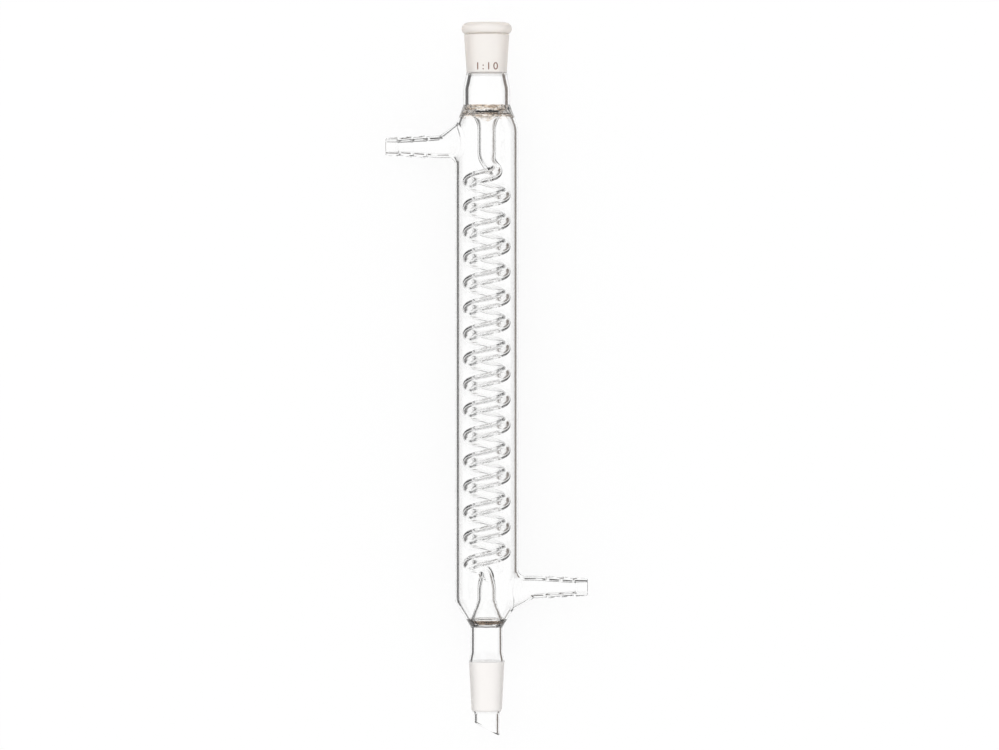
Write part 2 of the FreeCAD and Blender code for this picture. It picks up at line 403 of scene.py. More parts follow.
def slanted(outline, at, joint):
    """The same, with the stations past the cone's shoulder drawn in to end on a slanted plane.

    The plane's station falls with x as the cut's tangent. Each point past the shoulder keeps
    its share of the way from the shoulder to the end.
    """
    around = np.linspace(0, 2 * math.pi, COLUMNS, endpoint=False)[None]
    out = outline[:, 1:2]
    station = outline[:, 0:1]
    x = out * np.cos(around)
    start = at.cone_end + joint.drip_shoulder + 1.0 * MM
    end = at.overall - (at.drip_r - x) * math.tan(joint.drip_cut)
    part = np.clip((station - start) / (at.overall - start), 0, None)
    drawn = np.where(part > 0, start + part * (end - start), station)
    return in_place(x, drawn, out * np.sin(around), at)


class GlassNet:
    """Grids of points gathered into one mesh, in which edges that lie on each other are merged."""

    def __init__(self):
        self.points = []
        self.faces = []
        self.finishes = []
        self.count = 0

    def add(self, points, *patches):
        """Points, and patches as (faces, finish), where a face is a row of point numbers."""
        for faces, finish in patches:
            self.faces += (faces + self.count).tolist()
            self.finishes.append(np.broadcast_to(finish, len(faces)))
        self.points.append(points.reshape(-1, 3))
        self.count += len(self.points[-1])

    def add_grid(self, grid, keep=None, finish=CLEAR):
        """A grid of rings, closed round its columns. keep marks the faces to draw."""
        rows, columns = grid.shape[:2]
        row = np.arange(rows - 1)[:, None]
        column = np.arange(columns)[None]
        across = (column + 1) % columns
        corners = [row * columns + column, row * columns + across]
        corners += [(row + 1) * columns + across, (row + 1) * columns + column]
        faces = np.stack(np.broadcast_arrays(*corners), axis=-1)
        finish = np.broadcast_to(np.reshape(finish, (-1, 1)), (rows - 1, columns))
        if keep is None:
            keep = np.ones((rows - 1, columns), dtype=bool)
        self.add(grid, (faces[keep], finish[keep]))

    def add_halving(self, fine, coarse):
        """A strip between a ring and one with half as many points, each opposite an even one."""
        count = len(coarse)
        even = 2 * np.arange(count)
        here = len(fine) + np.arange(count)
        after = len(fine) + (np.arange(count) + 1) % count
        points = np.concatenate([fine, coarse])
        fan = np.stack([even, even + 1, here], axis=-1)
        rest = np.stack([even + 1, (even + 2) % len(fine), after, here], axis=-1)
        self.add(points, (fan, CLEAR), (rest, CLEAR))

    def closed_mesh(self, name):
        """The merged mesh, facing outwards. It raises an error if the glass isn't closed."""
        mesh = bpy.data.meshes.new(name)
        mesh.from_pydata(np.concatenate(self.points), [], self.faces)
        mesh.polygons.foreach_set("material_index", np.concatenate(self.finishes).astype(np.int32))
        work = bmesh.new()
        work.from_mesh(mesh)
        bmesh.ops.remove_doubles(work, verts=work.verts, dist=0.002 * MM)
        bmesh.ops.recalc_face_normals(work, faces=work.faces)
        open_edges = [edge for edge in work.edges if len(edge.link_faces) != 2]
        if open_edges:
            place = [round(c / MM, 2) for c in open_edges[0].verts[0].co]
            raise RuntimeError(f"{len(open_edges)} edges of the glass are open, such as at {place}")
        work.to_mesh(mesh)
        work.free()
        mesh.polygons.foreach_set("use_smooth", np.ones(len(mesh.polygons), dtype=bool))
        mesh.update()
        return mesh


def socket_lumen(at, joint):
    """Outline of the vapour's way from the rim to the plain tube, with a trumpet at the seal."""
    return rounded(
        (0, at.rim_middle_r, 0),
        (0, at.large_r, 0.35 * MM),
        (joint.ground_length, at.small_r, 4 * MM),
        (joint.ground_length + joint.neck_flare, at.neck_bore_r, 7 * MM),
        (at.upper_seal - joint.trumpet_rim, at.neck_bore_r, 1.1 * MM),
        (at.upper_seal + joint.trumpet_drop, at.plain_bore_r, 6 * MM),
        (at.inlet_end, at.plain_bore_r, 0))


def outer_skin(at, joint, jacket):
    """Outline of the outside, from the middle of the rim to the middle of the drip tip's end."""
    bead_r = joint.bead_thickness / 2
    bead_end = bead_r * (1 + math.tan(joint.bead_lean / 2))
    crease_r = at.socket_r - joint.crease_depth
    bead_foot = bead_end + (joint.bead_d / 2 - crease_r) / math.tan(joint.bead_lean)
    return rounded(
        (0, at.rim_middle_r, 0),
        (0, joint.bead_d / 2, bead_r),
        (bead_end, joint.bead_d / 2, bead_r),
        (bead_foot, crease_r, 0),
        (bead_foot + joint.crease_length, at.socket_r, 0.2 * MM),
        (joint.ground_length, at.small_r + joint.socket_wall, 6 * MM),
        (joint.ground_length + joint.neck_flare, at.neck_r, 8 * MM),
        (jacket.shoulder_start, at.neck_r, 2 * MM),
        (jacket.shoulder_start + jacket.shoulder_length, at.jacket_r, 9 * MM),
        (at.taper_top, at.jacket_r, 3.5 * MM),
        (at.taper_foot, at.lower_r, 2 * MM),
        (at.widening_start, at.lower_r, 6 * MM),
        (at.cone_top, at.large_r, 0.3 * MM),
        (at.cone_end, at.small_r, 0.6 * MM),
        (at.cone_end + joint.drip_shoulder, at.drip_r, 0.8 * MM),
        (at.overall, at.drip_r, 0.4 * MM),
        (at.overall, at.tip_middle_r, 0))


def tip_lumen(at, joint, jacket):
    """Outline of the vapour's way from the plain tube to the middle of the drip tip's end."""
    flare_middle_r = (at.plain_bore_r + at.lower_bore_r) / 2
    ridge_r = at.lower_bore_r - jacket.ridge_height
    return rounded(
        (at.resume, at.plain_bore_r, 0),
        (at.flare_top, at.plain_bore_r, 4 * MM),
        (at.flare_top + jacket.flare_bend, flare_middle_r, 4 * MM),
        (at.flare_end, at.lower_bore_r, 1 * MM),
        (at.flare_end + jacket.ridge_length / 2, ridge_r, 0.7 * MM),
        (at.flare_end + jacket.ridge_length, at.lower_bore_r, 1 * MM),
        (at.widening_start, at.lower_bore_r, 5 * MM),
        (at.cone_top + 0.3 * MM, at.lower_bore_r + joint.collar_gain, 1.5 * MM),
        (at.cone_end, joint.cone_bore_d / 2, 2.5 * MM),
        (at.cone_end + joint.drip_shoulder, at.drip_bore_r, 2.5 * MM),
        (at.overall, at.drip_bore_r, 0.4 * MM),
        (at.overall, at.tip_middle_r, 0))


def water_walls(at, jacket):
    """Outlines of the water space: the dome round the tube, the jacket's inside, the lower end.

    The first two meet on the dome near its edge, and the last two halfway across the lower end.
    """
    dome = at.upper_seal + jacket.seal_wall - jacket.dome_sag
    widening = (at.jacket_r - at.neck_r) / jacket.shoulder_length
    offset = jacket.wall * math.hypot(1, widening)
    dome_r = at.neck_r + (dome - jacket.shoulder_start) * widening - offset
    shoulder_end = dome + (at.jacket_bore_r - dome_r) / widening
    dome_edge = 1.5 * MM
    middle_r = dome_r - dome_edge
    dome_middle = dome + jacket.dome_sag * dome_edge / (dome_r - at.plain_r)
    inner_top = at.taper_top - jacket.wall * math.tan(jacket.lower_angle / 2)
    inner_foot = at.flare_end - jacket.flare_wall
    foot_r = at.jacket_bore_r - (inner_foot - inner_top) * at.slope
    flare_growth = (at.lower_bore_r - at.plain_bore_r) / jacket.flare_length
    tube_foot_r = at.plain_r + (inner_foot - at.flare_top) * flare_growth
    foot_middle_r = (foot_r + tube_foot_r) / 2
    upper = rounded(
        (at.inlet_end, at.plain_r, 0),
        (dome + jacket.dome_sag, at.plain_r, 6 * MM),
        (dome_middle, middle_r, 0))
    inside = rounded(
        (dome_middle, middle_r, 0),
        (dome, dome_r, 1.2 * MM),
        (shoulder_end, at.jacket_bore_r, 8 * MM),
        (inner_top, at.jacket_bore_r, 2.5 * MM),
        (inner_foot, foot_r, 0.3 * MM),
        (inner_foot, foot_middle_r, 0))
    lower = rounded(
        (at.resume, at.plain_r, 0),
        (at.flare_top, at.plain_r, 5 * MM),
        (inner_foot, tube_foot_r, 0.3 * MM),
        (inner_foot, foot_middle_r, 0))
    return upper, inside, lower


def arm_window(arm, at):
    """Stations of the rows that an arm's patch spans, a little more towards the jacket's end."""
    before, after = UPPER_WINDOW if arm == at.upper_arm else LOWER_WINDOW
    return np.linspace(arm - before, arm + after, WINDOW_ROWS + 1)


def window_mask(outline, at):
    """False where an arm's patch takes the place of the revolved wall's faces."""
    keep = np.ones((len(outline) - 1, COLUMNS), dtype=bool)
    middle = (outline[:-1, 0] + outline[1:, 0]) / 2
    column = np.arange(COLUMNS)
    for arm, first in ((at.upper_arm, COLUMNS // 2), (at.lower_arm, 0)):
        rows = arm_window(arm, at)
        near = (column - first + WINDOW_HALF_COLUMNS) % COLUMNS < 2 * WINDOW_HALF_COLUMNS
        inside = (middle > rows[0]) & (middle < rows[-1])
        keep &= ~(inside[:, None] & near[None])
    return keep


def arm_outline(at, hose):
    """Outline of an arm, as (x, radius), from its stem over the barbs and into the bore."""
    root = at.jacket_r + hose.root_rise
    stem_r = hose.stem_d / 2
    bore_r = hose.tip_bore_d / 2
    end_rounding = 0.45 * (hose.tip_d / 2 - bore_r)
    crease = hose.reach - hose.first_barb
    barbs = []
    for number in reversed(range(hose.barbs)):
        crest = hose.reach - hose.first_barb - hose.barb_spacing * number
        crest_r = (hose.crest_d + hose.crest_growth * number) / 2
        barbs.append((crest - hose.barb_fall, crest_r - hose.barb_height, 1.4 * MM))
        barbs.append((crest, crest_r, 0.9 * MM))
    outline = rounded(
        (root, stem_r, 0),
        (barbs[0][0] - hose.barb_fall, stem_r, 1.5 * MM),
        *barbs,
        (hose.reach, hose.tip_d / 2, end_rounding),
        (hose.reach, bore_r, end_rounding),
        (crease, bore_r, 0.3 * MM),
        (crease - 0.3 * MM, bore_r - hose.bore_crease, 0.3 * MM),
        (root, hose.root_bore_d / 2, 0))
    return supported(outline, longest=4 * MM)


def arm_grid(arm, side, skin, inside, at, hose):
    """An arm with its roots in the jacket's outer and inner wall, as one grid of rings.

    Near the jacket, a point at distance d from the arm's axis lies on the wall's circle,
    x = sqrt(wall radius ^ 2 - z ^ 2), lifted by a fillet of size f: d = stem + f * (1 - cos ^ p)
    and lift = f * (1 - sin ^ p), for angles from 90 degrees to 0. With p = 1, at the arm's
    sides, this is a quarter circle. Towards the jacket's nearer end f and p grow, by a weight
    of ((1 + cos(direction)) / 2) ^ 1.5. From the fillet's edge the rings go over evenly into
    the window's edge.
    """
    rows = arm_window(arm, at)
    spread = np.linspace(-WINDOW_HALF_COLUMNS, WINDOW_HALF_COLUMNS, 2 * WINDOW_HALF_COLUMNS + 1)
    spread = spread * 2 * math.pi / COLUMNS
    edge_station = np.concatenate([np.full(len(spread) - 1, rows[0]), rows[:-1],
                                   np.full(len(spread) - 1, rows[-1]), rows[:0:-1]])
    edge_angle = np.concatenate([spread[:-1], np.full(WINDOW_ROWS, spread[-1]),
                                 spread[:0:-1], np.full(WINDOW_ROWS, spread[0])])
    direction = np.arctan2(at.jacket_r * np.sin(edge_angle), edge_station - arm)
    towards = -1 if arm == at.upper_arm else 1
    weight = ((1 + towards * np.cos(direction)) / 2) ** 1.5
    fillet = hose.side_fillet + (hose.end_fillet - hose.side_fillet) * weight
    middle = hose.stem_d / 2 + fillet
    straight = 1 + 0.8 * weight

    def root(wall, stem):
        """Rings from the window's edge in to the stem, on one wall."""
        own = middle - stem
        wall_edge = np.interp(edge_station, wall[:, 0], wall[:, 1])
        edge_z = wall_edge * np.sin(edge_angle)
        part = np.linspace(1, 0, WALL_RINGS + 1)[:-1, None]
        flat_station = (arm + middle * np.cos(direction)) * (1 - part) + edge_station * part
        flat_z = middle * np.sin(direction) * (1 - part) + edge_z * part
        swing = np.linspace(math.pi / 2, 0, FILLET_RINGS)[:, None]
        reach = stem + own * (1 - np.cos(swing) ** straight)
        lift = (own + hose.end_rise * weight) * (1 - np.sin(swing) ** straight)
        station = np.concatenate([flat_station, arm + reach * np.cos(direction)])
        z = np.concatenate([flat_z, reach * np.sin(direction)])
        lift = np.concatenate([np.zeros_like(flat_z), lift])
        wall_r = np.interp(station, wall[:, 0], wall[:, 1])
        return np.sqrt(wall_r ** 2 - z ** 2) + lift, station, z

    outer = root(skin, hose.stem_d / 2)
    inner = root(inside, hose.root_bore_d / 2)
    outline = arm_outline(at, hose)
    out = outline[:, 1:2]
    stem_x = np.broadcast_to(outline[:, 0:1], (len(outline), len(direction)))
    stem = (stem_x, arm + out * np.cos(direction), out * np.sin(direction))
    x, station, z = [np.concatenate([a, b, c[::-1]]) for a, b, c in zip(outer, stem, inner)]
    return in_place(side * x, station, z, at)


def coil_path(at, coil):
    """The vapour tube's centre line from the plain inlet to the plain outlet, and its azimuth.

    The coil is a helix: x = radius * cos(angle), z = radius * sin(angle), with even stations.
    A bend leaves the axis on a half circle that passes through it, swept as pi * part ^ 2,
    so its azimuth is half its sweep, and its station follows a parabola onto the helix's slope.
    """
    def bend(start, drop, first_azimuth, part):
        """Reach, station and azimuth on a bend from start that ends drop further along."""
        knee = drop - math.copysign(coil.pitch / 4, drop)
        sweep = math.pi * part ** 2
        fall = 2 * part * (1 - part) * knee + part ** 2 * drop
        azimuth = first_azimuth + np.sign(drop) * sweep / 2
        reach = coil.radius * np.sin(sweep / 2)
        return reach, start + fall, azimuth

    part = np.linspace(0, 1, STEPS_PER_BEND + 1)
    turn = np.linspace(0, coil.turns, round(coil.turns * STEPS_PER_TURN) + 1)[1:-1]
    start = at.inlet_end + coil.lead
    end = at.outlet_end - coil.lead
    last_azimuth = 2 * math.pi * (coil.turns + 0.5)
    lead = np.linspace(at.inlet_end + 0.4 * coil.lead, start, LEAD_RINGS)[:-1]
    trail = np.linspace(end, at.resume, TRAIL_RINGS)[1:]
    entry = bend(start, at.coil_top - start, 0.0, part)
    leave = bend(end, at.coil_bottom - end, last_azimuth, part[::-1])
    helix = (0 * turn + coil.radius, at.coil_top + coil.pitch * turn, 2 * math.pi * (turn + 0.25))
    parts = ((0 * lead, lead, 0 * lead), entry, helix, leave,
             (0 * trail, trail, 0 * trail + last_azimuth))
    return [np.concatenate(values) for values in zip(*parts)]


def along_coil(plain_r, coil_r, at, coil):
    """A round tube along the coil's centre line.

    Each ring lies square to the line, in the two directions across it: the one that leads away
    from the axis, made square to the line, and the cross product of the line with that one.
    The tube's radius goes smoothly from the plain tube's to the coil's over most of each bend.
    """
    reach, station, azimuth = coil_path(at, coil)
    away = np.stack([np.cos(azimuth), 0 * azimuth, np.sin(azimuth)], axis=-1)
    line = away * reach[:, None]
    line[:, 1] = -station
    ahead = np.gradient(line, axis=0)
    ahead[0] = ahead[-1] = (0, -1, 0)
    ahead /= np.linalg.norm(ahead, axis=1, keepdims=True)
    across = away - ahead * np.sum(away * ahead, axis=1, keepdims=True)
    across /= np.linalg.norm(across, axis=1, keepdims=True)
    aside = np.cross(ahead, across)
    drawn_share = 0.75
    narrowing = (station - at.inlet_end) / (drawn_share * coil.entry_drop)
    widening = (at.resume - station) / (drawn_share * (at.resume - at.coil_bottom))
    part = np.clip(np.minimum(narrowing, widening), 0, 1)
    part = part * part * (3 - 2 * part)
    tube_r = (plain_r + (coil_r - plain_r) * part)[:, None, None]
    around = np.linspace(0, 2 * math.pi, COIL_COLUMNS, endpoint=False)[None, :, None]
    spoke = across[:, None] * np.cos(around) + aside[:, None] * np.sin(around)
    ring = line[:, None] + tube_r * spoke
    return in_place(ring[..., 0], -ring[..., 1], ring[..., 2], at)


def add_tube(net, plain_r, coil_r, at, coil):
    """The swept tube with a strip at each end that joins it to the plain tube's ring."""
    tube = along_coil(plain_r, coil_r, at, coil)[:-1]
    net.add_grid(tube)
    first = turned(np.array([[at.inlet_end, plain_r]]), at)[0]
    last = turned(np.array([[at.resume, plain_r]]), at)[0]
    net.add_halving(first, tube[0])
    # The last ring starts half a turn and the coil's turns round from the first one's start
    twist = round(COIL_COLUMNS * (coil.turns + 0.5))
    net.add_halving(last, np.roll(tube[-1], twist, axis=0))


def add_node(tree, kind, inputs=None, **settings):
    """A new shader node, with its settings and the values of its inputs."""
    node = tree.nodes.new("ShaderNode" + kind)
    for name, value in settings.items():
        setattr(node, name, value)
    for name, value in (inputs or {}).items():
        node.inputs[name].default_value = value
    return node


def join(tree, *wires):
    """Links between nodes, each as (node, its output, node, its input)."""
    for source, output, target, entry in wires:
        tree.links.new(source.outputs[output], target.inputs[entry])


def new_material(name, inputs):
    """A material, its node tree, and its surface shader with the values of its inputs."""
    material = bpy.data.materials.new(name)
    material.use_nodes = True
    shader = material.node_tree.nodes["Principled BSDF"]
    for entry, value in inputs.items():
        shader.inputs[entry].default_value = value
    return material, material.node_tree, shader


def glass_material(name, tint, waves, wave_depth):
    """Clear glass: a fully transmitting surface with waves in its form, left by the flame.

    waves is how many of them lie in a metre.
    """
    material, tree, shader = new_material(name, {
        "Base Color": (*tint, 1), "Roughness": 0.0, "IOR": GLASS_IOR, "Transmission Weight": 1.0})
    place = add_node(tree, "TexCoord")
    swell = add_node(tree, "TexNoise", {"Scale": waves, "Detail": 1.0})
    bump = add_node(tree, "Bump", {"Strength": 1.0, "Distance": wave_depth})
    join(tree,
         (place, "Object", swell, "Vector"),
         (swell, "Fac", bump, "Height"),
         (bump, "Normal", shader, "Normal"))
    return material


def add_painted_shade_streaks(material, tint, streak_painted_shade_tint):
    """Lays darker streaks round the axis into a glass's colour: painted shade for the dark lines
    that worked glass shows by bending light.
    """
    tree = material.node_tree
    place = add_node(tree, "TexCoord")
    squeeze = add_node(tree, "Mapping", {"Scale": SEAL_PAINTED_STREAKS})
    swirl = add_node(tree, "TexNoise", {"Scale": 1.0, "Detail": 2.0, "Distortion": 0.6})
    band = add_node(tree, "MapRange", {"From Min": 0.50, "From Max": 0.62},
                    interpolation_type="SMOOTHSTEP")
    # Painted shade: the streaks mix the darker tint into the glass's colour
    mix = add_node(tree, "Mix", {"A": (*tint, 1), "B": (*streak_painted_shade_tint, 1)}, data_type="RGBA")
    join(tree,
         (place, "Object", squeeze, "Vector"),
         (squeeze, "Vector", swirl, "Vector"),
         (swirl, "Fac", band, "Value"),
         (band, "Result", mix, "Factor"),
         (mix, "Result", tree.nodes["Principled BSDF"], "Base Color"))


def ground_material(name, tint, roughness, face_on, edge_on, turn):
    """Ground glass: a rough, milky surface with fine scratches round the axis.

    The light that passes goes from face_on to edge_on over the first part of the way from a
    face-on to an edge-on view, which is turn. Edge-on it shows more of the wall behind it.
    """
    material, tree, shader = new_material(name, {"IOR": GLASS_IOR})
    unevenness = 0.06
    scratch_depth = 0.05 * MM
    scratch_tint = tuple(0.97 * part for part in tint)
    aslant = add_node(tree, "LayerWeight", {"Blend": 0.5})
    passing = add_node(tree, "MapRange", {"From Max": turn, "To Min": face_on, "To Max": edge_on},
                       interpolation_type="SMOOTHSTEP")
    place = add_node(tree, "TexCoord")
    squeeze = add_node(tree, "Mapping", {"Scale": SCRATCHES})
    scratches = add_node(tree, "TexNoise", {"Scale": 1.0, "Detail": 3.0})
    mix = add_node(tree, "Mix", {"A": (*tint, 1), "B": (*scratch_tint, 1)}, data_type="RGBA")
    rough = add_node(tree, "MapRange", {"To Min": roughness - unevenness,
                                        "To Max": roughness + unevenness})
    bump = add_node(tree, "Bump", {"Strength": 0.25, "Distance": scratch_depth})
    join(tree,
         (aslant, "Facing", passing, "Value"),
         (passing, "Result", shader, "Transmission Weight"),
         (place, "Object", squeeze, "Vector"),
         (squeeze, "Vector", scratches, "Vector"),
         (scratches, "Fac", mix, "Factor"),
         (scratches, "Fac", rough, "Value"),
         (scratches, "Fac", bump, "Height"),
         (mix, "Result", shader, "Base Color"),
         (rough, "Result", shader, "Roughness"),
         (bump, "Normal", shader, "Normal"))
    return material


def finish_zones(at, joint):
    """Where the glass isn't clear, as (finish, first station, last station).

    A ground surface runs out in a short edge through which more light passes. The bead is
    frosted down to its underside. The seals are worked glass with darker streaks of painted
    shade. Where the glass is thickest, in the dome and the lower seal, a dark brown tint is
    painted shade for the dark that the bent light shows there.
    """
    before_rim = -1 * MM
    socket_end = joint.ground_length + 0.4 * MM
    cone_start = at.cone_top + 0.5 * MM
    zones = SimpleNamespace()
    zones.bead = (SOCKET, before_rim, 0.89 * joint.bead_thickness)
    zones.socket = (SOCKET, joint.bead_thickness, socket_end)
    zones.socket_edge = (GROUND_EDGE, socket_end, socket_end + 1.0 * MM)
    zones.bore = (SOCKET, before_rim, joint.ground_length - 2.0 * MM)
    zones.cone_edge = (GROUND_EDGE, cone_start - 0.7 * MM, cone_start)
    zones.cone = (CONE, cone_start, at.cone_end + 0.4 * joint.drip_shoulder)
    zones.upper_seal = (PALE_SEAL, at.upper_seal - 3.4 * MM, at.upper_seal + 1.4 * MM)
    # Painted shade: the dome and the lower seal take the dark tint of the thickest seal glass
    zones.dome = (SEAL_PAINTED_SHADE, at.upper_seal - 1.0 * MM, at.upper_seal + 0.5 * MM)
    zones.lower_seal = (SEAL_PAINTED_SHADE, at.flare_end + 0.5 * MM, at.flare_end + 2.0 * MM)
    return zones


def glass_materials(finish):
    """The materials of the glass, in the order of its finishes."""
    rough = finish.ground_roughness
    materials = [glass_material("clear_glass", finish.clear_tint, CLEAR_WAVES, finish.clear_waves)]
    # Name, tint, roughness, what passes face-on and edge-on, and the turn between them
    for values in (("ground_cone", finish.cone_tint, rough, 0.05, 0.42, 0.62),
                   ("ground_socket", finish.socket_tint, rough, 0.08, 0.42, 0.5),
                   ("ground_edge", finish.edge_tint, 0.2, 0.8, 0.85, 0.5)):
        materials.append(ground_material(*values))
    # The worked glass of the seals, with darker streaks painted as shade. The second is painted
    # shade all over, dark where the seal glass is thickest
    for name, tint, shade_streak in (("pale_seal", finish.seal_tint, finish.streak_painted_shade_tint),
                               ("painted_shade_seal", finish.seal_painted_shade_tint, finish.seal_painted_shade_streak_tint)):
        seal = glass_material(name, tint, SEAL_WAVES, finish.seal_waves)
        add_painted_shade_streaks(seal, tint, shade_streak)
        materials.append(seal)
    return materials


class CONDENSER_OT_glass_body(bpy.types.Operator):
    """Build the condenser's glass: joints, jacket, seals, coil and hose connections."""

    bl_idname = "condenser.glass_body"
    bl_label = "Glass body"
    bl_options = {"REGISTER", "UNDO"}

    def execute(self, context):
        scene = context.scene
        joint = scene.condenser_joint
        jacket = scene.condenser_jacket
        coil = scene.condenser_coil
        hose = scene.condenser_hose
        at = layout(scene)
        zones = finish_zones(at, joint)
        ends = [end for zone in vars(zones).values() for end in zone[1:]]
        outlines = (outer_skin(at, joint, jacket), socket_lumen(at, joint),
                    tip_lumen(at, joint, jacket), *water_walls(at, jacket))
        skin, lumen, tip, upper, inside, lower = [
            marked(supported(outline), *ends) for outline in outlines]
        for arm in (at.upper_arm, at.lower_arm):
            skin = with_rows(skin, arm_window(arm, at))
            inside = with_rows(inside, arm_window(arm, at))
        outside = finishes(skin, zones.bead, zones.socket, zones.socket_edge, zones.cone_edge,
                           zones.cone, zones.upper_seal, zones.lower_seal)
        net = GlassNet()
        net.add_grid(slanted(skin, at, joint), window_mask(skin, at), outside)
        net.add_grid(slanted(tip, at, joint), finish=finishes(tip, zones.lower_seal))
        net.add_grid(turned(lumen, at), finish=finishes(lumen, zones.bore, zones.upper_seal))
        net.add_grid(turned(inside, at), window_mask(inside, at), finishes(inside, zones.dome))
        net.add_grid(turned(upper, at), finish=finishes(upper, zones.upper_seal))
        net.add_grid(turned(lower, at), finish=finishes(lower, zones.lower_seal))
        net.add_grid(arm_grid(at.upper_arm, -1, skin, inside, at, hose))
        net.add_grid(arm_grid(at.lower_arm, 1, skin, inside, at, hose))
        add_tube(net, at.plain_r, at.coil_r, at, coil)
        add_tube(net, at.plain_bore_r, at.coil_bore_r, at, coil)
        body = bpy.data.objects.new("condenser_glass", net.closed_mesh("condenser_glass"))
        scene.collection.objects.link(body)
        for material in glass_materials(scene.condenser_finish):
            body.data.materials.append(material)
        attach(body, "root")
        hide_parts("glass_condenser")
        return {"FINISHED"}


def print_material(print_colour):
    """Baked-on print: a dull colour, unevenly rough."""
    material, tree, shader = new_material("baked_print", {"Base Color": (*print_colour, 1)})
    place = add_node(tree, "TexCoord")
    grain = add_node(tree, "TexNoise", {"Scale": PRINT_GRAIN})
    rough = add_node(tree, "MapRange", {"To Min": 0.5, "To Max": 0.7})
    join(tree,
         (place, "Object", grain, "Vector"),
         (grain, "Fac", rough, "Value"),
         (rough, "Result", shader, "Roughness"))
    return material


class CONDENSER_OT_socket_print(bpy.types.Operator):
    """Print the ground taper on the socket in plain numbers, as a thin mesh wrapped round it.

    A point of the flat text at (u, v) lies at x = u, its station falls with v, and
    z = sqrt(the socket's radius there ^ 2 - x ^ 2), plus its own height over the text's middle.
    """

    bl_idname = "condenser.socket_print"
    bl_label = "Socket print"
    bl_options = {"REGISTER", "UNDO"}

    def execute(self, context):
        scene = context.scene
        joint = scene.condenser_joint
        at = layout(scene)
        # The font's digits at a size of 1
        digit_height = 0.69
        curve = bpy.data.curves.new("socket_print", "FONT")
        curve.body = f"1:{1 / joint.taper:.0f}"
        curve.align_x = "CENTER"
        curve.align_y = "CENTER"
        curve.size = joint.print_height / digit_height
        curve.extrude = joint.print_thickness
        curve.space_character = 1.35
        flat = bpy.data.objects.new("socket_print", curve)
        mesh = bpy.data.meshes.new_from_object(flat)
        bpy.data.objects.remove(flat)
        bpy.data.curves.remove(curve)
        points = np.empty(3 * len(mesh.vertices))
        mesh.vertices.foreach_get("co", points)
        across, up, over = points.reshape(-1, 3).T
        skin = outer_skin(at, joint, scene.condenser_jacket)
        station = joint.print_station - up
        socket_r = np.interp(station, skin[:, 0], skin[:, 1])
        wrapped = in_place(across, station, np.sqrt(socket_r ** 2 - across ** 2) + over, at)
        mesh.vertices.foreach_set("co", wrapped.ravel())
        mesh.update()
        mesh.materials.clear()
        mesh.materials.append(print_material(scene.condenser_finish.print_colour))
        numbers = bpy.data.objects.new("socket_print", mesh)
        scene.collection.objects.link(numbers)
        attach(numbers, "root")
        return {"FINISHED"}


def seen_directly(tree, path):
    """1 for what the camera or a reflection sees, otherwise 0."""
    either = add_node(tree, "Math", operation="MAXIMUM")
    join(tree,
         (path, "Is Camera Ray", either, 0),
         (path, "Is Glossy Ray", either, 1))
    return either


def floor_material(floor_colour):
    """Pale floor: white to the camera and to reflections, with a faint shadow.

    It is clear to what comes through the glass, which so shows the world's sheet and cards.
    """
    material = bpy.data.materials.new("pale_floor")
    material.use_nodes = True
    tree = material.node_tree
    tree.nodes.clear()
    shadow = 0.1
    path = add_node(tree, "LightPath")
    glow = add_node(tree, "Emission", {"Color": (*floor_colour, 1), "Strength": 1.0})
    sheet = add_node(tree, "BsdfDiffuse", {"Color": (*floor_colour, 1)})
    through = add_node(tree, "BsdfTransparent")
    seen = add_node(tree, "MixShader", {"Fac": 1 - shadow})
    bright = add_node(tree, "MixShader")
    clear = add_node(tree, "MixShader")
    output = add_node(tree, "OutputMaterial")
    join(tree,
         (sheet, "BSDF", seen, 1),
         (glow, "Emission", seen, 2),
         (seen_directly(tree, path), "Value", bright, "Fac"),
         (sheet, "BSDF", bright, 1),
         (seen, "Shader", bright, 2),
         (path, "Is Transmission Ray", clear, "Fac"),
         (bright, "Shader", clear, 1),
         (through, "BSDF", clear, 2),
         (clear, "Shader", output, "Surface"))
    return material


def card_marks(first_card, first_edge, last_edge, last_card, room):
    """Marks of a ramp with a dark card, the bright sheet and a second card, and the room outside.

    An edge holds the two parts between which a card goes over into the sheet.
    """
    return ((-1.0, room), (-ROOM_START, room), (-CARD_END, first_card), (first_edge[0], first_card),
            (first_edge[1], 1.0), (last_edge[0], 1.0), (last_edge[1], last_card),
            (CARD_END, last_card), (ROOM_START, room), (1.0, room))


def zone_marks(first_edge, last_edge):
    """Marks of a ramp that is 0 between two soft edges, where a card stands, and 1 outside."""
    return ((-1.0, 1.0), (first_edge[0], 1.0), (first_edge[1], 0.0),
            (last_edge[0], 0.0), (last_edge[1], 1.0), (1.0, 1.0))


def ramp_node(tree, marks):
    """A ramp over a direction's part along one axis, from marks as (part, grey or colour)."""
    ramp = add_node(tree, "ValToRGB")
    elements = ramp.color_ramp.elements
    for number, (part, shade) in enumerate(marks):
        element = elements[number] if number < 2 else elements.new((part + 1) / 2)
        element.position = (part + 1) / 2
        element.color = (*shade, 1) if isinstance(shade, tuple) else (shade, shade, shade, 1)
    return ramp


